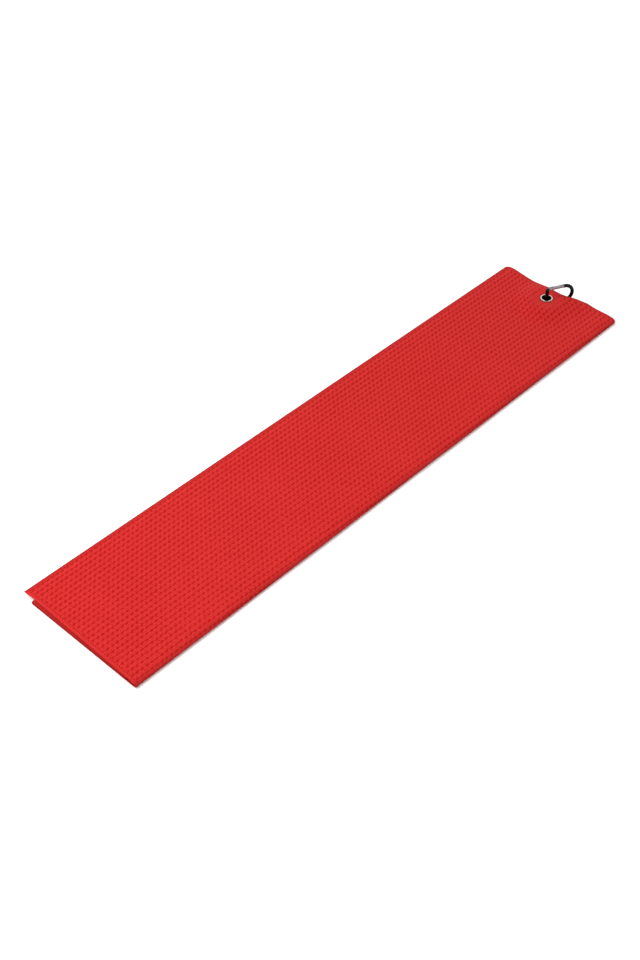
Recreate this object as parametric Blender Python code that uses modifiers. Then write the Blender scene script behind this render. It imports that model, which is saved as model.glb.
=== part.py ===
"""Golf towel folded in three, with a grommet and a small spring-gate carabiner.

Metres, +Z up. The origin is the middle of the towel's underside. +Y runs along the towel to
the grommet end, +X across it to the rounded outer fold. The towel lies on z = 0.
"""

import math

import bmesh
import bpy
import numpy as np
from mathutils import Matrix, Vector

# Towel
TOWEL_LENGTH = 0.610
FOLDED_WIDTH = 0.1333
FLAP_OVERHANG = 0.0116      # top flap past the fold of the two lower layers
LAYER = 0.00145             # one layer of waffle cloth
LAYER_GAP = 0.0003
INNER_FLAP_MARGIN = 0.0085  # inner flap's free edge to the inside of the outer fold
EDGE_DROOP = 0.0012         # top flap's free edge below the flat of the flap
FOLD_DROOP = 0.0009         # top layer lower where it turns into the outer fold
FOLD_DROOP_RUN = 0.0080
UNDER_SHIFT = 0.0023        # lower layers past the top flap at the near end
CORNER = 0.0050             # rounding of the two far corners
CORNER_SHARE = 0.97         # how much of the quarter round is made
END_PULL = 0.0091           # how far the grommet draws the far end in
END_PULL_PLACE = 0.0053     # where it is drawn in most
END_PULL_LEFT = 0.0697      # how far the pull reaches to either side
END_PULL_RIGHT = 0.0272
END_PULL_ROUNDING = 0.15    # 0 draws the end in to a point

# Grommet
GROMMET_INSET = 0.0245      # from the towel's end, before the end is drawn in
HOLE_RADIUS = 0.0047
BARREL_WALL = 0.0004
FLANGE_RADIUS = 0.0060
FLANGE_HEIGHT = 0.0007
LIP_RADIUS = 0.0060
LIP_HEIGHT = 0.00045
WASHER_RADIUS = 0.0068
WASHER_HEIGHT = 0.0005
PRESSED_LAYER = 0.0008      # one layer pressed by the grommet
FIT_GAP = 0.0003            # between pieces that touch
CHAMFER_SHARE = 1 / 3       # of a rim's height taken off its edges

# Carabiner
ROD_RADIUS = 0.00185
LOOP_LENGTH = 0.0309
LOOP_WIDTH = 0.0217
SMALL_CORNER = 0.0035
HINGE_CORNER = 0.0026
HEADING = 28.5              # degrees from +Y towards +X
SWING_LOW = 0.0             # lowest and highest heading of the loop
SWING_HIGH = 31.0
GATE_RADIUS = 0.00175
EAR_RADIUS = 0.0017         # round end of the gate's two ears
HINGE_PLACE = 0.0028        # along the loop, from the bar in the grommet
NOSE_STRAIGHT = 0.0012       # straight of the frame between the nose's shoulder and the bend
TIP_GAP = 0.0003
TONGUE_THICKNESS = 0.0015
TONGUE_END = 0.0012         # tongue past the hinge
NOSE_TONGUE = 0.0030
SLOT_CLEARANCE = 0.00025
EAR_CLEARANCE = 0.0003
RIVET_RADIUS = 0.0007
RIVET_CLEARANCE = 0.0001
LATCH_PLACE = 0.0017        # latch pin back from the nose's shoulder
LATCH_RADIUS = 0.00055
LATCH_CLEARANCE = 0.00025
PIN_FIT = 0.00005
PLUNGER_RADIUS = 0.0007
PLUNGER_LENGTH = 0.0022
BORE_CLEARANCE = 0.0001
END_CLEARANCE = 0.00015
BORE_WALL = 0.0010          # solid metal between the bore and the slot at the gate's tip
SPRING_WIRE = 0.00012
SPRING_PITCH = 0.0006
SLOT_PAST_TONGUE = 0.0009
TIP_SLOT_PAST_NOSE = 0.0006

# Hem thread
THREAD_RADIUS = 0.00025
HEM_WIDTH = 0.0040

# Fineness of the meshes
FINE_STEP = 0.0036
LIFT_SPREAD = 0.030
PRESS_SPREAD = 0.010
CORNER_STATIONS = (0.0, 0.14, 0.5, 1.0)
PLAIN_ROWS = 3              # rows of faces along the flat of the towel
CUTTER_LENGTH = 0.04
FOLD_STEP = 30              # degrees
GATE_SIDES = 32
ROD_SIDES_SETTING = 8       # the curve's bevel resolution on the frame's rod
BEND_STEPS = 24             # steps round the loop's wide end
CORNER_STEPS = 8            # steps round each small bend
EAR_STEPS = 16
STEPS_PER_TURN = 10

PITCH = LAYER + LAYER_GAP
ROD = 2 * ROD_RADIUS
LOOP_RUN = LOOP_LENGTH - ROD        # centre line's length
LOOP_RISE = LOOP_WIDTH - ROD
WIDE_RADIUS = LOOP_RISE / 2
BARREL_RADIUS = HOLE_RADIUS + BARREL_WALL
CLOTH_HOLE = BARREL_RADIUS + FIT_GAP
LIP_TOP = ROD + FIT_GAP + LIP_HEIGHT
WASHER_TOP = LIP_TOP + FIT_GAP + WASHER_HEIGHT
LIFT = WASHER_TOP + FIT_GAP         # towel's underside at the grommet
PRESSED_TOP = LIFT + 3 * PRESSED_LAYER + 2 * LAYER_GAP
GROMMET = Vector((0.0, TOWEL_LENGTH / 2 - GROMMET_INSET, 0.0))
SEAT_RADIUS = max(FLANGE_RADIUS, WASHER_RADIUS) + FINE_STEP / 2
SPINE_SIDE = ROD_RADIUS + FINE_STEP
OUTER_X = FOLDED_WIDTH / 2 - LAYER / 2 - PITCH      # centre of the outer fold's turn
SLOT_HALF = TONGUE_THICKNESS / 2 + SLOT_CLEARANCE
NOSE_PLACE = LOOP_RUN - WIDE_RADIUS - NOSE_STRAIGHT     # shoulder that the gate's tip meets
TIP_SLOT_FLOOR = NOSE_PLACE - NOSE_TONGUE - TIP_SLOT_PAST_NOSE - HINGE_PLACE
BORE_END = TIP_SLOT_FLOOR - BORE_WALL
SPRING_LENGTH = BORE_END - TONGUE_END - PLUNGER_LENGTH - 3 * END_CLEARANCE


def clear_scene():
    for obj in list(bpy.data.objects):
        bpy.data.objects.remove(obj, do_unlink=True)


def new_collection(name):
    collection = bpy.data.collections.new(name)
    bpy.context.scene.collection.children.link(collection)
    return collection


def new_material(name, colour, roughness, metallic):
    material = bpy.data.materials.new(name)
    material.use_nodes = True
    shader = material.node_tree.nodes["Principled BSDF"]
    shader.inputs["Base Color"].default_value = (*colour, 1.0)
    shader.inputs["Roughness"].default_value = roughness
    shader.inputs["Metallic"].default_value = metallic
    return material


def add_object(name, mesh, collection, material=None, parent=None):
    obj = bpy.data.objects.new(name, mesh)
    collection.objects.link(obj)
    if material:
        mesh.materials.append(material)
    obj.parent = parent
    return obj


def shade_round(obj, angle=35):
    obj.data.shade_smooth()
    obj.data.set_sharp_from_angle(angle=math.radians(angle))


def mesh_from(bm, name):
    mesh = bpy.data.meshes.new(name)
    bm.to_mesh(mesh)
    bm.free()
    return mesh


# --- towel ---------------------------------------------------------------------------------

def smooth_step(x):
    x = min(max(x, 0.0), 1.0)
    return x * x * (3 - 2 * x)


def rounded_cone(away, rounding):
    """Rises from 0 at no distance to 1 at distance 1, with a rounded point."""
    full = math.sqrt(1 + rounding * rounding) - rounding
    return (math.sqrt(away * away + rounding * rounding) - rounding) / full


def far_edge(x):
    """Far end of the towel, drawn in around the grommet and rounded at its two corners."""
    side = END_PULL_LEFT if x < END_PULL_PLACE else END_PULL_RIGHT
    away = min(abs(x - END_PULL_PLACE) / side, 1.0)
    drawn_in = END_PULL * (1 - rounded_cone(away, END_PULL_ROUNDING))
    into_corner = min(max((abs(x) - FOLDED_WIDTH / 2) / CORNER + 1, 0.0), 1.0) * CORNER_SHARE
    rounding = CORNER * (1 - math.sqrt(1 - into_corner * into_corner))
    return TOWEL_LENGTH / 2 - drawn_in - rounding


def near_edge(x, level):
    """Near end: straight on the top flap, and past it on the layers below its free side."""
    below = 1 - smooth_step(level - 1)
    return -TOWEL_LENGTH / 2 - UNDER_SHIFT * below * (0.5 - x / FOLDED_WIDTH)


def edge_reach(ray):
    """Distance from the grommet to the far end along one heading of the loop."""
    reach = (far_edge(0.0) - GROMMET.y) / ray.y
    return (far_edge(reach * ray.x) - GROMMET.y) / ray.y


def nearest_on_swing(x, y):
    """How far out along the loop the nearest swept place is, and the distance to it."""
    along = Vector((x - GROMMET.x, y - GROMMET.y))
    heading = math.degrees(math.atan2(along.x, along.y))
    if SWING_LOW <= heading <= SWING_HIGH:
        return along.length, 0.0
    nearest = math.radians(min(max(heading, SWING_LOW), SWING_HIGH))
    ray = Vector((math.sin(nearest), math.cos(nearest)))
    reach = min(max(along.dot(ray), 0.0), edge_reach(ray))
    return reach, (along - ray * reach).length


def top_of_spine(reach):
    """Height of the loop's inner side, which turns up at the wide end."""
    rise = min(max(reach - (LOOP_RUN - WIDE_RADIUS), 0.0), 0.7 * WIDE_RADIUS)
    inner = WIDE_RADIUS - ROD_RADIUS
    return ROD_RADIUS + WIDE_RADIUS - math.sqrt(inner * inner - rise * rise)


def lift_at(x, y):
    """Height of the towel's underside: it lies over the loop's spine and the washer."""
    reach, away = nearest_on_swing(x, y)
    beside = (away - SPINE_SIDE) / LIFT_SPREAD
    seat = (math.hypot(x - GROMMET.x, y - GROMMET.y) - SEAT_RADIUS) / LIFT_SPREAD
    over_spine = (top_of_spine(reach) + FIT_GAP) * smooth_step(1 - max(beside, 0.0))
    return max(over_spine, LIFT * smooth_step(1 - max(seat, 0.0)))


def layer_at(x, y):
    """Thickness of one layer, pressed thin around the grommet."""
    away = (math.hypot(x - GROMMET.x, y - GROMMET.y) - SEAT_RADIUS) / PRESS_SPREAD
    return PRESSED_LAYER + (LAYER - PRESSED_LAYER) * smooth_step(away)


def across_stations(start, end):
    """Places across one layer, close together where the grommet lifts it."""
    low, high = min(start, end), max(start, end)
    swing = math.radians(SWING_HIGH)
    right = GROMMET_INSET * math.tan(swing) + (SPINE_SIDE + LIFT_SPREAD) / math.cos(swing)
    fine = np.arange(-SEAT_RADIUS - LIFT_SPREAD, right, FINE_STEP)
    coarse = [low + CORNER * share for share in CORNER_STATIONS]
    coarse += [high - CORNER * share for share in CORNER_STATIONS]
    places = sorted({round(p, 6) for p in (*fine, *coarse) if low <= p <= high})
    return places if end > start else places[::-1]


def sheet_path():
    """Middle line of the folded sheet: place across, height in layers, angle it faces."""
    inner_turn = PITCH / 2
    inner_x = -FOLDED_WIDTH / 2 + FLAP_OVERHANG + LAYER / 2 + inner_turn
    flap_end = OUTER_X - INNER_FLAP_MARGIN
    path = [(x, 1.0, 90) for x in across_stations(flap_end, inner_x)]
    for angle in range(120, 270, FOLD_STEP):
        turn = math.radians(angle)
        path.append((inner_x + inner_turn * math.cos(turn), 0.5 + 0.5 * math.sin(turn), angle))
    path += [(x, 0.0, 270) for x in across_stations(inner_x, OUTER_X)]
    for angle in range(300, 450, FOLD_STEP):
        turn = math.radians(angle)
        path.append((OUTER_X + PITCH * math.cos(turn), 1 + math.sin(turn), angle))
    path += [(x, 2.0, 450) for x in across_stations(OUTER_X, -FOLDED_WIDTH / 2)]
    return path


def sheet_point(x, level, y, angle, side):
    """A point of one face of the folded sheet; side is +1 on the face that folds outwards."""
    layer = layer_at(x, y)
    z = lift_at(x, y) + layer / 2 + level * (layer + LAYER_GAP)
    top_share = max(level - 1, 0.0)
    overhang = (-FOLDED_WIDTH / 2 + FLAP_OVERHANG - x) / FLAP_OVERHANG
    z -= EDGE_DROOP * top_share * smooth_step(overhang)
    z -= FOLD_DROOP * top_share * smooth_step((x - OUTER_X) / FOLD_DROOP_RUN + 1)
    turn = math.radians(angle)
    out = side * layer / 2
    return Vector((x + out * math.cos(turn), y, z + out * math.sin(turn)))


def top_of_towel(x, y):
    return sheet_point(x, 2.0, y, 450, 1).z


def length_rows(x, level):
    """Places along the towel: a few up to where the grommet lifts it, then close together."""
    near, far = near_edge(x, level), far_edge(x)
    start = GROMMET.y - SEAT_RADIUS - LIFT_SPREAD - FINE_STEP
    count = round((TOWEL_LENGTH / 2 - start) / FINE_STEP)
    rows = [near + (start - near) * k / PLAIN_ROWS for k in range(PLAIN_ROWS)]
    return rows + [start + (far - start) * k / count for k in range(count + 1)]


def make_towel(collection, cutters, material):
    path = sheet_path()
    faces = [(point, 1) for point in path] + [(point, -1) for point in reversed(path)]
    bm = bmesh.new()
    lines = []
    for (x, level, angle), side in faces:
        places = [sheet_point(x, level, y, angle, side) for y in length_rows(x, level)]
        lines.append([bm.verts.new(place) for place in places])
    rings = list(zip(*lines))
    count = len(faces)
    for near, far in zip(rings, rings[1:]):
        for k in range(count):
            after = (k + 1) % count
            bm.faces.new((near[k], near[after], far[after], far[k]))
    for ring in (rings[0], rings[-1]):
        for k in range(len(path) - 1):
            bm.faces.new((ring[k], ring[k + 1], ring[count - 2 - k], ring[count - 1 - k]))
    bmesh.ops.recalc_face_normals(bm, faces=bm.faces)
    towel = add_object("towel_cloth", mesh_from(bm, "towel_cloth"), collection, material)
    hole = make_cylinder("cut_cloth_hole", CLOTH_HOLE, CUTTER_LENGTH, cutters, 32)
    hole.location = GROMMET
    cut(towel, hole)
    return towel


def make_hem_thread(collection, material):
    """One line of sewing round the top flap: near end, free side, far end."""
    rise = FIT_GAP + THREAD_RADIUS
    far_x = OUTER_X - HEM_WIDTH / 2
    side_x = -FOLDED_WIDTH / 2 + HEM_WIDTH
    near_y = -TOWEL_LENGTH / 2 + HEM_WIDTH
    across = across_stations(side_x, far_x)
    seam = [(x, near_y) for x in across[::-1]]
    seam += [(side_x, y) for y in np.linspace(near_y, far_edge(side_x) - HEM_WIDTH, 6)[1:-1]]
    seam += [(x, far_edge(x) - HEM_WIDTH) for x in across]
    points = [(x, y, top_of_towel(x, y) + rise) for x, y in seam]
    return make_rod("hem_thread", points, THREAD_RADIUS, collection, material)


# --- shared shapes -------------------------------------------------------------------------

def make_cylinder(name, radius, length, collection, sides=24, across=False):
    """Cylinder about its origin, along Z, or along Y where across is set."""
    bm = bmesh.new()
    bmesh.ops.create_cone(
        bm, cap_ends=True, segments=sides, radius1=radius, radius2=radius, depth=length
    )
    if across:
        bmesh.ops.rotate(bm, verts=bm.verts, matrix=Matrix.Rotation(math.pi / 2, 3, "X"))
    return add_object(name, mesh_from(bm, name), collection)


def make_block(name, size, collection):
    bm = bmesh.new()
    bmesh.ops.create_cube(bm, size=1.0, matrix=Matrix.Diagonal((*size, 1.0)))
    return add_object(name, mesh_from(bm, name), collection)


def make_rod(name, points, radius, collection, material=None, resolution=2):
    """Round rod along a line of points, as a closed mesh."""
    curve = bpy.data.curves.new(name, "CURVE")
    curve.dimensions = "3D"
    curve.bevel_depth = radius
    curve.bevel_resolution = resolution
    curve.use_fill_caps = True
    spline = curve.splines.new("POLY")
    spline.points.add(len(points) - 1)
    for point, place in zip(spline.points, points):
        point.co = (*place, 1.0)
    holder = bpy.data.objects.new(name + "_line", curve)
    collection.objects.link(holder)
    evaluated = holder.evaluated_get(bpy.context.evaluated_depsgraph_get())
    mesh = bpy.data.meshes.new_from_object(evaluated)
    bpy.data.objects.remove(holder, do_unlink=True)
    bm = bmesh.new()
    bm.from_mesh(mesh)
    bmesh.ops.remove_doubles(bm, verts=bm.verts, dist=0.000001)
    bmesh.ops.recalc_face_normals(bm, faces=bm.faces)
    bm.to_mesh(mesh)
    bm.free()
    mesh.name = name
    rod = add_object(name, mesh, collection, material)
    shade_round(rod, 50)
    return rod


def make_turned(name, profile, collection, material, sides=48):
    """Ring turned about Z from a closed outline of (radius, height) points."""
    bm = bmesh.new()
    corners = [bm.verts.new((radius, 0.0, height)) for radius, height in profile]
    for start, end in zip(corners, corners[1:] + corners[:1]):
        bm.edges.new((start, end))
    ring = add_object(name, mesh_from(bm, name), collection, material)
    screw = ring.modifiers.new("turn", "SCREW")
    screw.steps = sides
    screw.render_steps = sides
    screw.use_merge_vertices = True
    screw.merge_threshold = 0.00001
    screw.use_smooth_shade = True
    return ring


def cut(target, cutter, operation="DIFFERENCE"):
    cutter.hide_render = True
    cutter.display_type = "WIRE"
    boolean = target.modifiers.new(cutter.name, "BOOLEAN")
    boolean.operation = operation
    boolean.solver = "EXACT"
    boolean.object = cutter


# --- grommet -------------------------------------------------------------------------------

def make_grommet(collection, material):
    lip_low = ROD + FIT_GAP
    flange_low = PRESSED_TOP + FIT_GAP
    flange_top = flange_low + FLANGE_HEIGHT
    bevel = FLANGE_HEIGHT * CHAMFER_SHARE
    lip_bevel = LIP_HEIGHT * CHAMFER_SHARE
    washer_bevel = WASHER_HEIGHT * CHAMFER_SHARE
    eyelet = [
        (HOLE_RADIUS, flange_top - bevel),
        (HOLE_RADIUS + bevel, flange_top),
        (FLANGE_RADIUS - 2 * bevel, flange_top - bevel / 4),
        (FLANGE_RADIUS - bevel / 2, flange_top - bevel),
        (FLANGE_RADIUS, flange_low),
        (BARREL_RADIUS, flange_low),
        (BARREL_RADIUS, LIP_TOP),
        (LIP_RADIUS, LIP_TOP),
        (LIP_RADIUS, lip_low + lip_bevel),
        (LIP_RADIUS - lip_bevel, lip_low),
        (HOLE_RADIUS, lip_low),
    ]
    washer_low = LIP_TOP + FIT_GAP
    washer = [
        (CLOTH_HOLE, WASHER_TOP),
        (WASHER_RADIUS, WASHER_TOP),
        (WASHER_RADIUS, washer_low + washer_bevel),
        (WASHER_RADIUS - washer_bevel, washer_low),
        (CLOTH_HOLE, washer_low),
    ]
    for name, profile in (("grommet_eyelet", eyelet), ("grommet_washer", washer)):
        ring = make_turned(name, profile, collection, material)
        ring.location = GROMMET


# --- carabiner, in its own frame: X along the loop, Y across it, Z up from the spine ---------

def arc(centre_x, centre_z, radius, start, end, steps):
    turns = [math.radians(start + (end - start) * k / steps) for k in range(steps + 1)]
    return [(centre_x + radius * math.cos(t), 0.0, centre_z + radius * math.sin(t)) for t in turns]


def frame_line():
    """Centre line of the frame from the nose, round the wide end and back to the hinge."""
    nose = NOSE_PLACE - NOSE_TONGUE
    line = [(nose, 0.0, LOOP_RISE)]
    line += arc(LOOP_RUN - WIDE_RADIUS, WIDE_RADIUS, WIDE_RADIUS, 90, -90, BEND_STEPS)
    line += arc(SMALL_CORNER, SMALL_CORNER, SMALL_CORNER, 270, 180, CORNER_STEPS)
    line += arc(HINGE_CORNER, LOOP_RISE - HINGE_CORNER, HINGE_CORNER, 180, 90, CORNER_STEPS)
    line.append((HINGE_PLACE + TONGUE_END, 0.0, LOOP_RISE))
    return line


def place(obj, x, z=LOOP_RISE, y=0.0):
    obj.location = (x, y, z)
    return obj


def cut_tongue(frame, name, side, cutter):
    """Moves a cutter beside the tongue, so that what is left there is the flat tongue."""
    cutter.name = f"{name}_{'left' if side > 0 else 'right'}"
    cutter.location.y = side * (TONGUE_THICKNESS / 2 + ROD_RADIUS)
    cut(frame, cutter)


def make_frame(collection, cutters, pivot, material):
    frame = make_rod("carabiner_frame", frame_line(), ROD_RADIUS, collection, material, ROD_SIDES_SETTING)
    frame.parent = pivot
    ear_space = GATE_RADIUS + EAR_CLEARANCE
    for side in (1, -1):
        ears = make_cylinder("ear_space", ear_space, ROD, cutters, 32, across=True)
        ears.parent = pivot
        cut_tongue(frame, "cut_ear_space", side, place(ears, HINGE_PLACE))
        end = make_block("tongue_side", (ROD, ROD, 2 * ROD), cutters)
        end.parent = pivot
        cut_tongue(frame, "cut_tongue_side", side, place(end, HINGE_PLACE + ROD / 2))
        length = NOSE_TONGUE + ROD_RADIUS
        nose = make_block("nose_side", (length, ROD, 2 * ROD), cutters)
        nose.parent = pivot
        cut_tongue(frame, "cut_nose_side", side, place(nose, NOSE_PLACE - length / 2))
    hole = RIVET_RADIUS + RIVET_CLEARANCE
    rivet_hole = make_cylinder("cut_rivet_hole", hole, 2 * ROD, cutters, across=True)
    rivet_hole.parent = pivot
    cut(frame, place(rivet_hole, HINGE_PLACE))
    notch_radius = LATCH_RADIUS + LATCH_CLEARANCE
    notch_x = NOSE_PLACE - LATCH_PLACE
    notch = make_cylinder("cut_notch_end", notch_radius, 2 * ROD, cutters, across=True)
    notch.parent = pivot
    cut(frame, place(notch, notch_x))
    mouth = make_block("cut_notch_mouth", (2 * notch_radius, 2 * ROD, ROD), cutters)
    mouth.parent = pivot
    cut(frame, place(mouth, notch_x, LOOP_RISE - ROD / 2))
    return frame


# --- gate, in the hinge's frame: X towards its tip, Y along the hinge pin -------------------

def make_prism(name, outline, width, collection):
    """Outline in X and Z, extruded across Y and centred on it."""
    bm = bmesh.new()
    corners = [bm.verts.new((x, -width / 2, z)) for x, z in outline]
    side = bm.faces.new(corners)
    grown = bmesh.ops.extrude_face_region(bm, geom=[side])
    moved = [item for item in grown["geom"] if isinstance(item, bmesh.types.BMVert)]
    bmesh.ops.translate(bm, verts=moved, vec=(0.0, width, 0.0))
    bmesh.ops.recalc_face_normals(bm, faces=bm.faces)
    return add_object(name, mesh_from(bm, name), collection)


def make_pin(name, profile, collection, material, sides=24):
    """Solid pin turned about Z from (radius, height) points, top to bottom."""
    bm = bmesh.new()
    corners = [bm.verts.new((radius, 0.0, height)) for radius, height in profile]
    for start, end in zip(corners, corners[1:]):
        bm.edges.new((start, end))
    pin = add_object(name, mesh_from(bm, name), collection, material)
    screw = pin.modifiers.new("turn", "SCREW")
    screw.steps = sides
    screw.render_steps = sides
    screw.use_merge_vertices = True
    screw.merge_threshold = 0.00001
    screw.use_smooth_shade = True
    return pin


def along_x(obj):
    obj.rotation_euler = (0.0, math.pi / 2, 0.0)
    return obj


def across_gate(obj):
    obj.rotation_euler = (math.pi / 2, 0.0, 0.0)
    return obj


def make_gate(collection, cutters, hinge, material):
    tip = NOSE_PLACE - TIP_GAP - HINGE_PLACE
    gate = make_cylinder("carabiner_gate", GATE_RADIUS, tip + ROD, collection, GATE_SIDES)
    gate.data.materials.append(material)
    half_facet = Matrix.Rotation(math.pi / GATE_SIDES, 4, "Z")
    gate.data.transform(Matrix.Rotation(math.pi / 2, 4, "Y") @ half_facet)
    gate.data.transform(Matrix.Translation(((tip - ROD) / 2, 0.0, 0.0)))
    gate.parent = hinge
    turns = [math.radians(90 + 180 * k / EAR_STEPS) for k in range(EAR_STEPS + 1)]
    outline = [(EAR_RADIUS * math.cos(t), EAR_RADIUS * math.sin(t)) for t in turns]
    outline += [(0.0, -ROD), (tip + ROD, -ROD), (tip + ROD, ROD), (0.0, ROD)]
    ears = make_prism("cut_round_ears", outline, 2 * ROD, cutters)
    slot_floor = TONGUE_END + SLOT_PAST_TONGUE
    hinge_slot = make_block("cut_hinge_slot", (2 * ROD, 2 * SLOT_HALF, 2 * ROD), cutters)
    place(hinge_slot, slot_floor - ROD, 0.0)
    tip_slot = make_block("cut_tip_slot", (2 * ROD, 2 * SLOT_HALF, 2 * ROD), cutters)
    place(tip_slot, TIP_SLOT_FLOOR + ROD, 0.0)
    bore = make_cylinder("cut_bore", PLUNGER_RADIUS + BORE_CLEARANCE, BORE_END, cutters)
    along_x(place(bore, BORE_END / 2, 0.0))
    rivet_radius = RIVET_RADIUS + RIVET_CLEARANCE
    rivet_hole = make_cylinder("cut_gate_rivet", rivet_radius, 2 * ROD, cutters, across=True)
    latch_radius = LATCH_RADIUS + PIN_FIT
    latch_hole = make_cylinder("cut_latch_hole", latch_radius, 2 * ROD, cutters, across=True)
    place(latch_hole, NOSE_PLACE - LATCH_PLACE - HINGE_PLACE, 0.0)
    for cutter in (ears, hinge_slot, tip_slot, bore, rivet_hole, latch_hole):
        cutter.parent = hinge
    cut(gate, ears, "INTERSECT")
    for cutter in (hinge_slot, tip_slot, bore, rivet_hole, latch_hole):
        cut(gate, cutter)
    return gate


def make_pins(collection, pivot, hinge, material):
    head = RIVET_RADIUS * 1.5
    under = GATE_RADIUS + PIN_FIT
    top = under + RIVET_RADIUS / 2
    rivet = [(0.0, top), (head * 0.7, top), (head, under + RIVET_RADIUS / 5), (head, under)]
    rivet += [(RIVET_RADIUS, under), (RIVET_RADIUS, -under)]
    rivet += [(head, -under), (head, -under - RIVET_RADIUS / 5), (head * 0.7, -top), (0.0, -top)]
    pin = across_gate(make_pin("gate_hinge_rivet", rivet, collection, material))
    pin.parent = pivot
    place(pin, HINGE_PLACE)
    end = GATE_RADIUS - PIN_FIT
    latch = [(0.0, end), (LATCH_RADIUS, end), (LATCH_RADIUS, -end), (0.0, -end)]
    latch_pin = across_gate(make_pin("gate_latch_pin", latch, collection, material, 16))
    latch_pin.parent = hinge
    place(latch_pin, NOSE_PLACE - LATCH_PLACE - HINGE_PLACE, 0.0)


def make_plunger_and_spring(collection, hinge, material):
    start = TONGUE_END + END_CLEARANCE
    nose = PLUNGER_RADIUS / 3
    half = PLUNGER_LENGTH / 2
    profile = [(0.0, half), (PLUNGER_RADIUS, half), (PLUNGER_RADIUS, nose - half)]
    profile += [(PLUNGER_RADIUS - nose, -half), (0.0, -half)]
    plunger = along_x(make_pin("gate_plunger", profile, collection, material, 16))
    plunger.parent = hinge
    place(plunger, start + half, 0.0)
    spring_start = start + PLUNGER_LENGTH + END_CLEARANCE + SPRING_WIRE
    coil = PLUNGER_RADIUS - END_CLEARANCE / 2 - SPRING_WIRE
    run = SPRING_LENGTH - 2 * SPRING_WIRE
    turns = max(round(run / SPRING_PITCH), 1)
    steps = turns * STEPS_PER_TURN
    points = []
    for k in range(steps + 1):
        turn = 2 * math.pi * turns * k / steps
        along = spring_start + run * k / steps
        points.append((along, coil * math.cos(turn), coil * math.sin(turn)))
    spring = make_rod("gate_spring", points, SPRING_WIRE, collection, material, 1)
    spring.parent = hinge


def add_pivot(name, collection, location, parent=None, heading=None):
    pivot = bpy.data.objects.new(name, None)
    collection.objects.link(pivot)
    pivot.location = location
    pivot.parent = parent
    if heading is not None:
        pivot.rotation_euler.z = math.radians(90 - heading)
    return pivot


def main():
    clear_scene()
    collection = new_collection("golf_towel")
    cutters = new_collection("cutters")
    cloth = new_material("waffle_cloth", (0.68, 0.024, 0.021), 0.95, 0.0)
    thread = new_material("hem_thread", (0.72, 0.04, 0.035), 0.8, 0.0)
    nickel = new_material("grommet_metal", (0.78, 0.78, 0.76), 0.22, 1.0)
    black = new_material("black_anodised", (0.012, 0.012, 0.014), 0.32, 0.6)
    bare = new_material("bare_aluminium", (0.72, 0.73, 0.74), 0.28, 1.0)
    steel = new_material("spring_steel", (0.55, 0.55, 0.56), 0.35, 1.0)

    make_towel(collection, cutters, cloth)
    make_hem_thread(collection, thread)
    make_grommet(collection, nickel)

    spine = GROMMET + Vector((0.0, 0.0, ROD_RADIUS))
    pivot = add_pivot("carabiner_pivot", collection, spine, heading=HEADING)
    hinge = add_pivot("gate_pivot", collection, (HINGE_PLACE, 0.0, LOOP_RISE), pivot)
    frame = make_frame(collection, cutters, pivot, black)
    gate = make_gate(collection, cutters, hinge, bare)
    make_pins(collection, pivot, hinge, steel)
    make_plunger_and_spring(collection, hinge, steel)
    for obj in (frame, gate):
        shade_round(obj)
    bpy.context.view_layer.update()


main()
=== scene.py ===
"""Looks of a golf towel folded in three, with its grommet and carabiner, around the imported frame."""

import math

import bmesh
import bpy
from bpy.props import FloatProperty, FloatVectorProperty, IntProperty, PointerProperty
from mathutils import Matrix, Vector


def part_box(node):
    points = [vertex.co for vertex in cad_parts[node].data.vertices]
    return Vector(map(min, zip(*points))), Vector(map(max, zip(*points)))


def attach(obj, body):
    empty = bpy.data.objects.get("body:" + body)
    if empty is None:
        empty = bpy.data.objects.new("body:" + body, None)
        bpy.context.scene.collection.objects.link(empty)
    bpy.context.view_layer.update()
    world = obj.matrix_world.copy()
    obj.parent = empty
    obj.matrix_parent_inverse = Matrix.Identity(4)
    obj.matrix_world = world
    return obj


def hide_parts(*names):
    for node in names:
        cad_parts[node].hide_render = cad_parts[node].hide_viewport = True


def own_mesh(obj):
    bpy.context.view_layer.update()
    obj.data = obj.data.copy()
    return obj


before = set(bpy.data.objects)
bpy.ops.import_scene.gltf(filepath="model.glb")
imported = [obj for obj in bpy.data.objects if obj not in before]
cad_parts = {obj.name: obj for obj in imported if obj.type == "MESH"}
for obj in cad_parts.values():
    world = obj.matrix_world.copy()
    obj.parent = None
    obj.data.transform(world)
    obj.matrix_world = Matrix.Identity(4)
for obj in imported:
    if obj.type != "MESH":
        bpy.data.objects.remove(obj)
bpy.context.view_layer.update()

bl_info = {
    "name": "Golf Towel",
    "version": (1, 0, 0),
    "blender": (4, 5, 0),
    "location": "View3D > Sidebar > Golf Towel",
    "description": "Builds a folded waffle golf towel with its grommet and carabiner",
    "category": "Object",
}

CLOTH_LOW, CLOTH_HIGH = (Vector(corner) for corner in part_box("towel_cloth"))
EYELET_LOW, EYELET_HIGH = (Vector(corner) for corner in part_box("grommet_eyelet"))
WASHER_LOW, WASHER_HIGH = (Vector(corner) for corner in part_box("grommet_washer"))
FRAME_LOW, FRAME_HIGH = (Vector(corner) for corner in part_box("carabiner_frame"))
GROMMET = Vector(((EYELET_LOW.x + EYELET_HIGH.x) / 2, (EYELET_LOW.y + EYELET_HIGH.y) / 2, 0.0))
MM = 0.001
TURN = 2 * math.pi
UPWARDS = math.pi / 2

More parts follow.
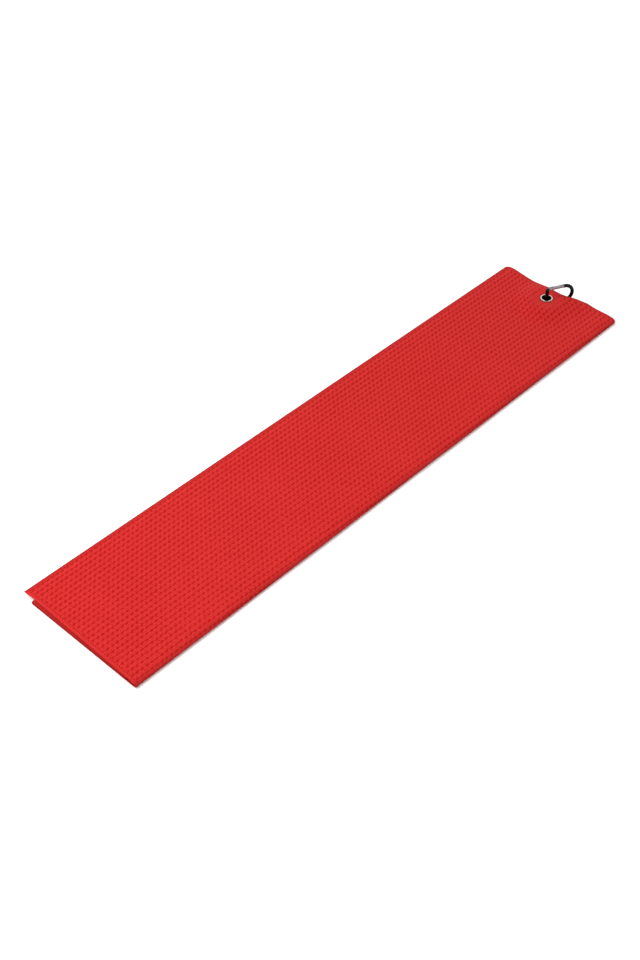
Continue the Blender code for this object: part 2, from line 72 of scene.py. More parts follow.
# the carabiner as packed
FRAME_ROD = 0.0037          # across
LOOP_LENGTH = 0.0309
LOOP_RUN = LOOP_LENGTH - FRAME_ROD      # between the centre lines of the loop's two ends
LOOP_WIDE_RADIUS = (FRAME_HIGH.z - FRAME_LOW.z - FRAME_ROD) / 2
PLUNGER_TRAVEL = 0.0006
MERGE_DISTANCE = 0.002 * MM     # corners of a mesh nearer than this are one
FLAT_ANGLE = 0.6            # degrees under which packed faces are joined
METAL_SMOOTH_ANGLE = 32
RING_SMOOTH_ANGLE = 40

# the cloth
GROMMET_INSET = 0.0245      # from the towel's end, before the end is drawn in
FIT_GAP = 0.3 * MM          # between the cloth and what lies under it
HOLE_EDGE = 0.0055          # cloth's hole, round the grommet's barrel
HOLE_REACH = 2              # hole radii within which the cut edge is rounded
SHEET_THICKNESS = 0.0011
FLAT_RADIUS = 0.009         # no waffle within this of the grommet's axis
FLAT_RUN = 0.012            # and full waffle this much further out
FLAT_SHARE = 0.75           # how smooth the cloth looks there, against a hem
CELL_PARTS = 3              # faces across one waffle cell
LINE_CLEARANCE = 0.3        # of a face, between the cells' lines and other lines
OUTER_STEPS = 8             # faces round the outer and the inner fold
INNER_STEPS = 4
HIDDEN_LINES = 4            # of the hem's lines, made on the edge inside the towel
BOTTOM_LEVEL = 0.5          # layers under this have no pits, because they face the floor
UNDER_PLACES = (50, 38, 30, 25, 20, 15, 10, 5, 0, -5, -10, -15, -20, -28, -40)  # mm across

# the weave: how far its cells open and lean per metre towards the far end
OPENS_ACROSS = 0.24
OPENS_ALONG = 0.12
SKEW = 0.10
SKEW_CHANGE = 0.33
SKEW_CENTRE = 0.066
CELL_WAVES = (0.55, 0.35, 0.1)  # shares of the waves across, aslant and along
RIDGE_LEVEL = 0.35              # how far under the waves' middle a pit starts

# the waffle's colour, with painted shade in its pits and grooves; noise scales are per metre
BROAD_SCALE = 14.0
UNEVEN_SCALE = 420.0
NAP_SCALE = 1000.0
FUZZ_SCALE = 2600.0
YARN_SCALE = 1500.0
YARN_STRETCH = (1.0, 0.35, 1.0)
UNEVEN_WAVE = 0.6           # how much the cells differ
PIT_START = 0.3
PIT_GAIN = 0.77
PIT_SHARPNESS = 1.5
# the pits' painted shade: how strong it is, and how it grows to the left and towards the far end
PIT_STRENGTH = 0.75         # in the middle of the towel,
STRONGER_LEFT = 3.0         # and more per metre to the left
STRONGER_FAR = 0.4          # and towards the far end
STRONGER_BROAD = 0.9
GROOVE_STRENGTH = 0.12
GROOVE_BROAD = 0.35
NAP_DEPTH = 2.8
DEPTH_START = 1.28
FUZZ_START = 0.35
FUZZ_SHARE = 0.8
FUZZ_DARK = 0.68            # of the yarn's colour
CLOTH_BUMP = 0.16 * MM
CLOTH_ROUGHNESS = 0.92
SHEEN_TINT = (1.0, 0.45, 0.42)

# the hem, in shares of its width from the sewn edge
HEM_ROUND = 0.3             # rolled rim
HEM_STEPS = (0.0, 0.1, HEM_ROUND, 0.6, 0.82, 1.0, 1.16)
SEAM_END = 1.38             # the waffle starts past the seam's groove
SEAM_BLEND = 0.3
RIM_SHARE = 0.8             # rolled over into shade
RIM_DROP = 0.45 * MM
HEM_CROWN = 0.12 * MM
SEAM_DIP = 0.25 * MM
FOLD_SHADE = 0.30           # of the rim's colour on the turned fold
FOLD_SHADE_RUN = 0.0025
LOWER_SHADE = 0.55          # and on the rims of the lower layers

# the stitches
STITCH_PITCH = 0.0028
STITCH_HALF = 0.36          # of the pitch, half a stitch's length
STITCH_STEP = 0.4 * MM      # ahead, to find a stitch's direction
STITCH_HEIGHT = -0.00016
THREAD_RADIUS = 0.00022
THREAD_SPREAD = 1.2         # a stitch's width against its height
TWIST_SCALE = 3000.0
TWIST_BUMP = 0.05 * MM

# the grommet
BARREL_WALL = 0.4 * MM
FLANGE_SLOPE = 0.1 * MM
FLANGE_HEIGHT = 0.68 * MM
LIP_HEIGHT = 0.45 * MM
LIP_REACH = 1.3 * MM
WASHER_CLEARANCE = 0.7 * MM
EYELET_ROUNDING = 0.45 * MM
WASHER_ROUNDING = 0.3 * MM
ARC_STEPS = 4
ARC_LIMIT = 0.48            # of a side, the most that a corner's arc may take
HOLE_SHADE = (0.02, 0.018, 0.017)     # painted shade and dark reflection on the flange's inner rounding and inside the barrel
# how far out from the hole the painted shade reaches
HOLE_SHADE_RUN = 0.00035

# how metal wears: lighter patches, and fine marks that change its gloss
PATCH_SCALE = 260.0
PATCH_SHARE = 0.35
WORN_GAIN = 1.35
WORN_LIFT = 0.004
GLOSS_SPREAD = 0.16

# bare metal on the black frame, beside the gate
BARE_BACK = 0.0022          # from the hinge back to the loop's corner
BARE_FRONT = 0.0010         # and past the latch pin
BARE_RADIUS = 0.0026
EDGE_SHARPNESS = 6000.0     # per metre, where one finish ends and another starts

# the stage
FLOOR_SIZE = 30.0
FLOOR_DROP = 0.2 * MM
BRIGHT_SIDE = (-0.55, 0.55, 0.63)
KEY_PLACE = (-0.35, -0.65, 0.9)
KEY_SIZE = 0.9
SENSOR_WIDTH = 36.0
CAMERA_PLACE = (0.5847, -0.6528, 0.7947)
CAMERA_AZIMUTH = 43.677
CAMERA_ELEVATION = 43.727
CAMERA_LENS = 50.69


# --- settings ------------------------------------------------------------------------------

def length_setting(name, description, default):
    return FloatProperty(
        name=name, description=description, default=default, min=0.0, subtype="DISTANCE",
        unit="LENGTH", precision=5,
    )


def colour_setting(name, description, default):
    return FloatVectorProperty(
        name=name, description=description, default=default, subtype="COLOR", min=0.0, max=1.0,
    )


class ClothSettings(bpy.types.PropertyGroup):
    overhang: length_setting("Overhang", "Top flap past the fold of the lower layers", 0.0116)
    layer: length_setting("Layer", "Thickness of one layer, pits and all", 0.00145)
    layer_gap: length_setting("Layer gap", "Air between two layers", 0.0003)
    pressed_layer: length_setting("Pressed layer", "One layer under the grommet", 0.0008)
    flap_margin: length_setting("Flap margin", "Inner flap's edge to the outer fold", 0.0085)
    pitch_across: length_setting("Pitch across", "Waffle cell across the towel", 0.00495)
    pitch_along: length_setting("Pitch along", "Waffle cell along the towel", 0.00505)
    pit_depth: length_setting("Pit depth", "Depth of a waffle cell", 0.00055)
    hem: length_setting("Hem", "Width of the smooth sewn edge", 0.0030)
    end_pull: length_setting("End pull", "How far the grommet draws the end in", 0.0091)
    corner: length_setting("Corner", "Rounding of the far corners", 0.005)
    under_shift: length_setting("Under shift", "Lower layers past the top flap", 0.0023)
    red: colour_setting("Red", "Colour of the yarn on the ridges", (0.53, 0.0220, 0.0200))
    # the next colour is painted shade, down in the pits and on the hem's thread
    pit_shade_red: colour_setting("Deep red", "Colour down in the pits", (0.31, 0.0005, 0.0005))
    rim_red: colour_setting("Rim red", "Colour of the rolled rims in shade", (0.13, 0.001, 0.001))
    hem_red: colour_setting("Hem red", "Colour of the sewn edge", (0.50, 0.0190, 0.0175))


class GrommetSettings(bpy.types.PropertyGroup):
    hole: length_setting("Hole", "Radius of the hole", 0.0047)
    segments: IntProperty(name="Segments", description="Steps round the ring", default=96, min=12)
    nickel: colour_setting("Nickel", "Colour of the plating", (0.52, 0.50, 0.46))


class CarabinerSettings(bpy.types.PropertyGroup):
    black: colour_setting("Black", "Colour of the anodised frame", (0.012, 0.012, 0.013))
    bare: colour_setting("Bare metal", "Colour of the gate", (0.29, 0.29, 0.30))
    steel: colour_setting("Steel", "Colour of pins and spring", (0.55, 0.55, 0.56))


class StageSettings(bpy.types.PropertyGroup):
    floor: colour_setting("Floor", "Colour of the floor", (0.93, 0.93, 0.93))
    bright: FloatProperty(name="Bright side", description="Light from the far left", default=1.35)
    dim: FloatProperty(name="Dim side", description="Light from the near right", default=0.45)
    key: FloatProperty(name="Key", description="Key light's power", default=9.0, unit="POWER")


# --- shader expressions --------------------------------------------------------------------

class Value:
    """A shader socket that Python's arithmetic acts on through Math nodes."""

    def __init__(self, graph, socket):
        self.graph = graph
        self.socket = socket

    def math(self, operation, *values):
        inputs = dict(enumerate(values))
        return self.graph.node("ShaderNodeMath", {"operation": operation}, inputs)

    def __add__(self, other):
        return self.math("ADD", self, other)

    def __radd__(self, other):
        return self.math("ADD", other, self)

    def __sub__(self, other):
        return self.math("SUBTRACT", self, other)

    def __rsub__(self, other):
        return self.math("SUBTRACT", other, self)

    def __mul__(self, other):
        return self.math("MULTIPLY", self, other)

    def __rmul__(self, other):
        return self.math("MULTIPLY", other, self)

    def __pow__(self, other):
        return self.math("POWER", self, other)

    def cos(self):
        return self.math("COSINE", self)

    def clamp(self):
        return self.graph.node("ShaderNodeClamp", {}, {"Value": self})


class Graph:
    """The nodes of a material or of the world, and the shader that they feed."""

    def __init__(self, owner, shader="Principled BSDF"):
        owner.use_nodes = True
        self.owner = owner
        self.tree = owner.node_tree
        self.shader = self.tree.nodes[shader]

    def node(self, kind, settings, inputs, output=0):
        """Any node, from its type, its settings and the values or links of its sockets."""
        made = self.tree.nodes.new(kind)
        for key, value in settings.items():
            setattr(made, key, value)
        for key, value in inputs.items():
            self.feed(made.inputs[key], value)
        return Value(self, made.outputs[output])

    def feed(self, socket, value):
        if isinstance(value, Value):
            self.tree.links.new(value.socket, socket)
        elif hasattr(value, "__len__") and socket.type == "RGBA" and len(value) == 3:
            socket.default_value = (*value, 1.0)
        else:
            socket.default_value = value

    def set(self, **inputs):
        """Sets or links the shader's own sockets, an underscore standing for a space."""
        for key, value in inputs.items():
            self.feed(self.shader.inputs[key.replace("_", " ")], value)

    def mix(self, factor, first, second):
        settings = {"data_type": "RGBA", "blend_type": "MIX"}
        return self.node("ShaderNodeMix", settings, {0: factor, 6: first, 7: second}, 2)

    def vector(self, operation, *values, output=0):
        inputs = dict(enumerate(values))
        return self.node("ShaderNodeVectorMath", {"operation": operation}, inputs, output)

    def part(self, vector, axis):
        return self.node("ShaderNodeSeparateXYZ", {}, {0: vector}, axis)

    def attribute(self, name):
        return self.node("ShaderNodeAttribute", {"attribute_name": name}, {}, 2)

    def place(self):
        """Object coordinates, in metres."""
        return self.node("ShaderNodeTexCoord", {}, {}, 3)

    def noise(self, vector, scale, detail=2.0, roughness=0.5):
        inputs = {"Vector": vector, "Scale": scale, "Detail": detail, "Roughness": roughness}
        return self.node("ShaderNodeTexNoise", {}, inputs)

    def bump(self, height, distance, strength):
        inputs = {"Height": height, "Distance": distance, "Strength": strength}
        return self.node("ShaderNodeBump", {}, inputs)


def new_material(name):
    return Graph(bpy.data.materials.new(name))


def waffle_material(cloth):
    """Brushed microfibre in waffle cells: bright ridges, deep pits darkened with painted shade, a
    smooth sewn hem, rims in painted shade.
    """
    graph = new_material("waffle_cloth")
    cells = graph.node("ShaderNodeUVMap", {"uv_map": "cells"}, {})
    across, along = graph.part(cells, 0), graph.part(cells, 1)
    hem, rim = graph.attribute("hem"), graph.attribute("rim")
    place = graph.place()
    side, length = graph.part(place, 0), graph.part(place, 1)
    broad = graph.noise(place, BROAD_SCALE)
    uneven = graph.noise(place, UNEVEN_SCALE)
    nap = graph.noise(place, NAP_SCALE, roughness=0.6)
    fuzz = graph.noise(place, FUZZ_SCALE, detail=3.0, roughness=0.65)
    yarn = graph.noise(graph.vector("MULTIPLY", place, YARN_STRETCH), YARN_SCALE)

    share_across, share_aslant, share_along = CELL_WAVES
    wave = (across * TURN).cos() * share_across + ((across + along) * TURN).cos() * share_aslant
    wave = wave + (along * TURN).cos() * share_along + (uneven - 0.5) * UNEVEN_WAVE
    pit = (((wave + PIT_START) * PIT_GAIN).clamp() ** PIT_SHARPNESS) * (1 - hem)
    groove = (((across * (2 * TURN)).cos() + 1) * 0.5) ** 2.0 * (1 - hem)
    groove = groove * (GROOVE_STRENGTH + broad * GROOVE_BROAD)
    strength = broad * STRONGER_BROAD + PIT_STRENGTH - side * STRONGER_LEFT + length * STRONGER_FAR
    # how far to mix towards the painted shade of the pits: pits and grooves, plus random nap
    depth = (pit * strength + groove + nap * NAP_DEPTH - DEPTH_START).clamp()

    ridge = graph.mix(hem, cloth.red, cloth.hem_red)
    pit_shaded = graph.mix(depth, ridge, cloth.pit_shade_red)
    shaded = graph.mix(rim, pit_shaded, cloth.rim_red)
    dark_red = [c * FUZZ_DARK for c in cloth.red]
    fuzzy = graph.mix((fuzz - FUZZ_START).clamp() * FUZZ_SHARE, shaded, dark_red)
    bump = graph.bump(fuzz * 0.6 + yarn * 0.4, CLOTH_BUMP, 0.6)
    graph.set(Base_Color=fuzzy, Roughness=CLOTH_ROUGHNESS, Normal=bump)
    graph.set(Sheen_Weight=0.08, Sheen_Roughness=0.45, Sheen_Tint=SHEEN_TINT)
    graph.set(Specular_IOR_Level=0.12)
    return graph.owner


def thread_material(cloth):
    """Sewing thread in the painted shade colours of the pits and rims, so the seam shows as a shaded
    groove; its twist seen as darker flecks.
    """
    graph = new_material("hem_thread")
    twist = graph.noise(graph.place(), TWIST_SCALE)
    colour = graph.mix(twist, cloth.pit_shade_red, cloth.rim_red)
    graph.set(Base_Color=colour, Roughness=0.8, Normal=graph.bump(twist, TWIST_BUMP, 0.5))
    graph.set(Specular_IOR_Level=0.1)
    return graph.owner


def metal_material(name, colour, roughness, metallic, grain_scale, grain_depth, bare=None, shade_radius=None):
    """Metal with fine marks; where asked, bare beside the gate; where asked, darkened with painted
    shade within a radius.
    """
    graph = new_material(name)
    place = graph.place()
    grain = graph.noise(place, grain_scale, detail=3.0)
    patches = graph.noise(place, PATCH_SCALE)
    lighter = [min(c * WORN_GAIN + WORN_LIFT, 1.0) for c in colour]
    wear_and_shade = graph.mix(patches * PATCH_SHARE, colour, lighter)
    rough = grain * GLOSS_SPREAD + (roughness - GLOSS_SPREAD / 2)
    if bare is not None:
        share = beside_gate(graph, place)
        wear_and_shade = graph.mix(share, wear_and_shade, bare)
        metallic = share * (1 - metallic) + metallic
    if shade_radius is not None:
        # painted shade round the grommet's hole
        wear_and_shade = graph.mix(within_ring(graph, place, shade_radius), wear_and_shade, HOLE_SHADE)
    graph.set(Base_Color=wear_and_shade, Roughness=rough, Metallic=metallic)
    graph.set(Normal=graph.bump(grain, grain_depth, 0.5))
    return graph.owner


def beside_gate(graph, place):
    """1 on the frame's two ends, from the loop's corner to past the latch pin; else 0."""
    hinge, run = gate_line()
    offset = graph.vector("SUBTRACT", place, hinge)
    ahead = graph.vector("DOT_PRODUCT", offset, run.normalized(), output=1)
    reach = graph.vector("LENGTH", offset, output=1)
    beside = reach * reach - ahead * ahead
    before = ((ahead + BARE_BACK) * EDGE_SHARPNESS).clamp()
    after = ((run.length + BARE_FRONT - ahead) * EDGE_SHARPNESS).clamp()
    near = ((BARE_RADIUS ** 2 - beside) * (EDGE_SHARPNESS / BARE_RADIUS)).clamp()
    return before * after * near


def within_ring(graph, place, radius):
    """1 nearer the grommet's axis than the radius, else 0."""
    level = graph.vector("MULTIPLY", place, (1, 1, 0))
    reach = graph.vector("LENGTH", graph.vector("SUBTRACT", level, GROMMET), output=1)
    return ((radius - reach) * EDGE_SHARPNESS).clamp()


def gate_line():
    """The gate's hinge, and the way from there to its latch pin."""
    hinge, latch = (
        (Vector(low) + Vector(high)) / 2
        for low, high in (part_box("gate_hinge_rivet"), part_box("gate_latch_pin"))
    )
    return hinge, latch - hinge


# --- pieces --------------------------------------------------------------------------------

def add_piece(name, bm, body, material, smooth_angle=None):
    """Makes an object of a bmesh, at the origin, and lets it ride on a body."""
    mesh = bpy.data.meshes.new(name)
    bm.to_mesh(mesh)
    bm.free()
    piece = bpy.data.objects.new(name, mesh)
    bpy.context.scene.collection.objects.link(piece)
    mesh.materials.append(material)
    mesh.shade_smooth()
    if smooth_angle is not None:
        mesh.set_sharp_from_angle(angle=math.radians(smooth_angle))
    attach(piece, body)
    return piece


def smooth_step(x):
    x = min(max(x, 0.0), 1.0)
    return x * x * (3 - 2 * x)


def from_grommet(place):
    """Level distance from the grommet's axis."""
    return math.hypot(place[0] - GROMMET.x, place[1] - GROMMET.y)


class Fold:
    """Where each point of the flat sheet lies once it is folded, lifted and pressed."""

    SEAT = 0.0088               # flat round the grommet
    SPREAD = 0.030              # how fast the cloth settles beside what lifts it
    PRESS_SPREAD = 0.010        # how fast the layers get their full thickness
    SWING = (0.0, 31.0)         # headings of the loop's spine under the cloth
    SPINE_SIDE = 0.00545        # held up to this far beside the spine's centre line
    DROOP = 0.0012              # top flap's free edge below the flat of the flap
    FOLD_DROOP = 0.0009         # top layer lower where it turns into the outer fold
    FOLD_DROOP_RUN = 0.0080
    CORNER_SHARE = 0.97         # how much of the quarter round is made
    PULL_PLACE = 0.0053         # where the far end is drawn in most
    PULL_LEFT = 0.0697          # how far the pull reaches to either side
    PULL_RIGHT = 0.0272
    PULL_ROUNDING = 0.15        # 0 draws the end in to a point
    ENDS_RUN = 0.06             # over which the two ends are drawn to their places
    CLIMB_SHARE = 0.7           # of the loop's wide radius that the cloth climbs

    def __init__(self, cloth):
        self.cloth = cloth
        self.half = (CLOTH_HIGH.x - CLOTH_LOW.x) / 2
        self.end = GROMMET.y + GROMMET_INSET
        self.pitch = cloth.layer + cloth.layer_gap
        self.outer_x = self.half - cloth.layer / 2 - self.pitch
        self.inner_x = -self.half + cloth.overhang + cloth.layer / 2 + self.pitch / 2
        top = self.outer_x + self.half
        outer = math.pi * self.pitch
        bottom = self.outer_x - self.inner_x
        inner = math.pi * self.pitch / 2
        middle = bottom - cloth.flap_margin
        self.marks = [0.0]
        for run in (top, outer, bottom, inner, middle):
            self.marks.append(self.marks[-1] + run)
        self.width = self.marks[-1]

    def section(self, along_sheet):
        """Place across, height in layers and facing angle, from the distance along the sheet."""
        _, top, outer, bottom, inner, _ = self.marks
        s = along_sheet
        if s <= top:
            return s - self.half, 2.0, UPWARDS
        if s <= outer:
            turn = UPWARDS - (s - top) / self.pitch
            return self.outer_x + self.pitch * math.cos(turn), 1 + math.sin(turn), turn
        if s <= bottom:
            return self.outer_x - (s - outer), 0.0, -UPWARDS
        if s <= inner:
            radius = self.pitch / 2
            turn = -UPWARDS - (s - bottom) / radius
            return self.inner_x + radius * math.cos(turn), 0.5 + 0.5 * math.sin(turn), turn
        return self.inner_x + (s - inner), 1.0, UPWARDS

    def far_end(self, x):
        """Far end, drawn in to a rounded point at the grommet, its two corners rounded."""
        side = self.PULL_LEFT if x < self.PULL_PLACE else self.PULL_RIGHT
        away = min(abs(x - self.PULL_PLACE) / side, 1.0)
        blunt = self.PULL_ROUNDING
        rise = (math.hypot(away, blunt) - blunt) / (math.hypot(1, blunt) - blunt)
        corner = self.cloth.corner
        into = min(max((abs(x) - self.half) / corner + 1, 0.0), 1.0) * self.CORNER_SHARE
        cut = corner * (1 - math.sqrt(1 - into * into))
        return self.end - self.cloth.end_pull * (1 - rise) - cut

    def near_end(self, x, level):
        """Near end: straight on the top flap, and past it on the layers below its free side."""
        below = 1 - smooth_step(level - 1)
        return -self.end - self.cloth.under_shift * below * (0.5 - x / (2 * self.half))

    def along(self, x, level, flat_y):
        """Place along the towel of a point of the flat sheet, near and far ends as they lie."""
        start = self.end - self.ENDS_RUN
        far = smooth_step((flat_y - start) / self.ENDS_RUN)
        near = smooth_step((-flat_y - start) / self.ENDS_RUN)
        drawn_in = (self.end - self.far_end(x)) * far
        return flat_y - drawn_in + (self.end + self.near_end(x, level)) * near

    def edge_reach(self, ray):
        """Distance from the grommet to the far end along one heading of the loop."""
        reach = (self.far_end(0.0) - GROMMET.y) / ray.y
        return (self.far_end(reach * ray.x) - GROMMET.y) / ray.y

    def top_of_spine(self, reach):
        """Height of the loop's inner side under the cloth, which turns up at its wide end."""
        wide = LOOP_WIDE_RADIUS
        rise = min(max(reach - (LOOP_RUN - wide), 0.0), self.CLIMB_SHARE * wide)
        inner = wide - FRAME_ROD / 2
        return FRAME_ROD / 2 + wide - math.sqrt(inner * inner - rise * rise)

    def lift(self, x, y):
        """Height of the cloth's underside over the loop's spine, the washer or the floor."""
        along = Vector((x - GROMMET.x, y - GROMMET.y))
        heading = math.degrees(math.atan2(along.x, along.y))
        if self.SWING[0] <= heading <= self.SWING[1]:
            reach, away = along.length, 0.0
        else:
            nearest = math.radians(min(max(heading, self.SWING[0]), self.SWING[1]))
            ray = Vector((math.sin(nearest), math.cos(nearest)))
            reach = min(max(along.dot(ray), 0.0), self.edge_reach(ray))
            away = (along - ray * reach).length
        beside = (away - self.SPINE_SIDE) / self.SPREAD
        seat = (along.length - self.SEAT) / self.SPREAD
        over_spine = (self.top_of_spine(reach) + FIT_GAP) * smooth_step(1 - max(beside, 0.0))
        over_washer = (WASHER_HIGH.z + FIT_GAP) * smooth_step(1 - max(seat, 0.0))
        return max(over_spine, over_washer)

    def layer(self, x, y):
        """Thickness of one layer, pressed thin under the grommet."""
        away = (from_grommet((x, y)) - self.SEAT) / self.PRESS_SPREAD
        pressed = self.cloth.pressed_layer
        return pressed + (self.cloth.layer - pressed) * smooth_step(away)

    def point(self, along_sheet, y, height):
        """A point of the sheet, height above its middle on the face that folds outwards."""
        x, level, turn = self.section(along_sheet)
        layer = self.layer(x, y)
        z = self.lift(x, y) + layer / 2 + level * (layer + self.cloth.layer_gap)
        top_share = max(level - 1, 0.0)
        hang = (-self.half + self.cloth.overhang - x) / self.cloth.overhang
        z -= self.DROOP * top_share * smooth_step(hang)
        z -= self.FOLD_DROOP * top_share * smooth_step((x - self.outer_x) / self.FOLD_DROOP_RUN + 1)
        out = height * layer / self.cloth.layer
        return Vector((x + out * math.cos(turn), y, z + out * math.sin(turn)))


def pattern_lines(start, end, pitch):
    """Places from start to end on a lattice of cells, each cell cut in equal parts."""
    step = pitch / CELL_PARTS
    first = math.ceil((start + step * LINE_CLEARANCE) / step)
    last = math.floor((end - step * LINE_CLEARANCE) / step)
    return [k * step for k in range(first, last + 1)]


def hem_height(share):
    """Height of the face over the sheet's ridge level, a share of the hem from a sewn edge."""
    if share < HEM_ROUND:
        return -RIM_DROP * (1 - share / HEM_ROUND) ** 2
    if share < 1.0:
        crown = math.sin(math.pi * (share - HEM_ROUND) / (1 - HEM_ROUND))
        return HEM_CROWN * crown - SEAM_DIP * share ** 6
    return -SEAM_DIP * smooth_step((SEAM_END - share) / (SEAM_END - 1))


def cell_place(cloth, s, flat_y):
    """Cells counted across and along; the weave runs a little askew and opens to the far end."""
    across = s * (1 - OPENS_ACROSS * flat_y) / cloth.pitch_across
    skew = (SKEW - SKEW_CHANGE * flat_y) * (s - SKEW_CENTRE)
    along = (flat_y * (1 - OPENS_ALONG * flat_y) - skew) / cloth.pitch_along
    return across, along


def pit_share(across, along):
    """How deep in a waffle cell a place is, 0 on the ridges to 1 at the bottom."""
    turns = (across, across + along, along)
    wave = sum(share * math.cos(TURN * turn) for share, turn in zip(CELL_WAVES, turns))
    return max(wave + RIDGE_LEVEL, 0.0) / (1 + RIDGE_LEVEL)


def build_cloth(cloth):
    """One flat grid is given its cells and hems and is folded in three."""
    fold = Fold(cloth)
    columns, rows = grid_lines(fold, cloth)
    bm = bmesh.new()
    bmesh.ops.create_grid(bm, x_segments=len(columns) - 1, y_segments=len(rows) - 1, size=0.5)
    cells = bm.loops.layers.uv.new("cells")
    smooth = bm.verts.layers.float.new("hem")
    rolled = bm.verts.layers.float.new("rim")
    flat = {}
    for vert in bm.verts:
        column = round((vert.co.x + 0.5) * (len(columns) - 1))
        row = round((vert.co.y + 0.5) * (len(rows) - 1))
        flat[vert] = (columns[column], rows[row])
    for vert, (s, flat_y) in flat.items():
        x, level, _ = fold.section(s)
        y = fold.along(x, level, flat_y)
        edge = min(s, fold.width - s, flat_y + fold.end, fold.end - flat_y) / cloth.hem
        near_seam = smooth_step((SEAM_END - edge) / SEAM_BLEND)
        waffled = smooth_step((from_grommet((x, y)) - FLAT_RADIUS) / FLAT_RUN)
        height = cloth.layer / 2
        if level > BOTTOM_LEVEL:
            pit = pit_share(*cell_place(cloth, s, flat_y)) * cloth.pit_depth
            height -= pit * (1 - near_seam) * waffled
        if edge < SEAM_END:
            height += hem_height(edge) if s < fold.marks[2] else min(hem_height(edge), 0.0)
        vert.co = fold.point(s, y, height)
        vert[smooth] = max(near_seam, FLAT_SHARE * (1 - waffled))
        vert[rolled] = rim_shade(fold, cloth, s, flat_y, edge)
    for face in bm.faces:
        for loop in face.loops:
            loop[cells].uv = cell_place(cloth, *flat[loop.vert])
    open_hole(bm, HOLE_EDGE)
    bm.normal_update()
    bm.faces.ensure_lookup_table()
    if bm.faces[len(rows)].normal.z < 0:
        bmesh.ops.reverse_faces(bm, faces=bm.faces)
    return bm, fold


def grid_lines(fold, cloth):
    """Distances of the flat sheet's columns from its free edge, and places of its rows."""
    rim = [share * cloth.hem for share in (*HEM_STEPS, SEAM_END)]
    _, top, outer, bottom, inner, width = fold.marks
    columns = rim + pattern_lines(rim[-1], top, cloth.pitch_across)
    columns += [top + (outer - top) * k / OUTER_STEPS for k in range(OUTER_STEPS + 1)]
    columns += [outer + fold.outer_x - x * MM for x in UNDER_PLACES]
    columns += [bottom + (inner - bottom) * k / INNER_STEPS for k in range(INNER_STEPS + 1)]
    columns += [inner + x * MM - fold.inner_x for x in reversed(UNDER_PLACES[:-1])]
    columns += [width - d for d in reversed(rim[:HIDDEN_LINES])]
    rows = [-fold.end + d for d in rim]
    rows += pattern_lines(-fold.end + rim[-1], fold.end - rim[-1], cloth.pitch_along)
    rows += [fold.end - d for d in reversed(rim)]
    return columns, rows


def rim_shade(fold, cloth, s, flat_y, edge):
    """Share of the shaded rim's colour; edge is the nearest edge's distance in hem widths."""
    turned_in = smooth_step((s - fold.marks[1] + FOLD_SHADE_RUN) / FOLD_SHADE_RUN)
    shaded = 1 - smooth_step(min(s, fold.end - flat_y) / (RIM_SHARE * cloth.hem))
    if s > fold.marks[1]:
        shaded = max(shaded, LOWER_SHADE * (1 - smooth_step(edge / RIM_SHARE)))
    return max(shaded, FOLD_SHADE * turned_in)


def open_hole(bm, radius):
    """Cuts the grommet's hole through all three layers and rounds its edge."""
    inside = [face for face in bm.faces if min(from_grommet(vert.co) for vert in face.verts) < radius]
    bmesh.ops.delete(bm, geom=inside, context="FACES")
    for vert in bm.verts:
        away = from_grommet(vert.co)
        if vert.is_boundary and away < HOLE_REACH * radius:
            vert.co.x = GROMMET.x + (vert.co.x - GROMMET.x) * radius / away
            vert.co.y = GROMMET.y + (vert.co.y - GROMMET.y) * radius / away


def build_stitches(fold, cloth):
    """Stitches round the top flap: along its near end, its free side and its far end."""
    bm = bmesh.new()
    hem = cloth.hem
    end = fold.end - hem
    across = fold.marks[1]
    count_across = round(across / STITCH_PITCH)
    count_along = round(2 * end / STITCH_PITCH)
    places = [hem + across * k / count_across for k in range(count_across)]
    seam = [(s, -end, STITCH_STEP, 0.0) for s in places]
    seam += [
        (hem, -end + 2 * end * (k + 0.5) / count_along, 0.0, STITCH_STEP)
        for k in range(count_along)
    ]
    seam += [(s, end, STITCH_STEP, 0.0) for s in places]
    size = (STITCH_PITCH * STITCH_HALF, THREAD_RADIUS * THREAD_SPREAD, THREAD_RADIUS, 1.0)
    for s, flat_y, ahead_s, ahead_y in seam:
        centre = on_cloth(fold, s, flat_y, STITCH_HEIGHT)
        forward = on_cloth(fold, s + ahead_s, flat_y + ahead_y, STITCH_HEIGHT) - centre
        turn = forward.to_track_quat("X", "Z").to_matrix().to_4x4()
        matrix = Matrix.Translation(centre) @ turn @ Matrix.Diagonal(size)
        bmesh.ops.create_uvsphere(bm, u_segments=6, v_segments=4, radius=1.0, matrix=matrix)
    return bm


def on_cloth(fold, s, flat_y, height):
    """A point at a height over the ridges of the folded cloth."""
    x, level, _ = fold.section(s)
    y = fold.along(x, level, flat_y)
    return fold.point(s, y, fold.cloth.layer / 2 + height)


def turned(profile, segments):
    """Ring turned round the grommet's axis from a closed outline of radius and height."""
    bm = bmesh.new()
    corners = [bm.verts.new((GROMMET.x + r, GROMMET.y, z)) for r, z in profile]
    edges = [bm.edges.new(pair) for pair in zip(corners, corners[1:] + corners[:1])]
    bmesh.ops.spin(
        bm, geom=corners + edges, cent=GROMMET, axis=(0, 0, 1), angle=TURN,
        steps=segments, use_merge=True,
    )
    bmesh.ops.remove_doubles(bm, verts=bm.verts, dist=MERGE_DISTANCE)
    bmesh.ops.recalc_face_normals(bm, faces=bm.faces)
    return bm


def rounded(points, corner):
    """Outline with each corner given in (radius, height, rounding) turned into a short arc."""
    outline = []
    count = len(points)
    for k, (r, z, rounding) in enumerate(points):
        here = Vector((r, z))
        before = Vector(points[k - 1][:2]) - here
        after = Vector(points[(k + 1) % count][:2]) - here
        cut = min(rounding * corner, before.length * ARC_LIMIT, after.length * ARC_LIMIT)
        if cut <= 0:
            outline.append((r, z))
            continue
        start = here + before.normalized() * cut
        end = here + after.normalized() * cut
        for step in range(ARC_STEPS + 1):
            t = step / ARC_STEPS
            spot = start * (1 - t) ** 2 + here * 2 * t * (1 - t) + end * t * t
            outline.append((spot.x, spot.y))
    return outline


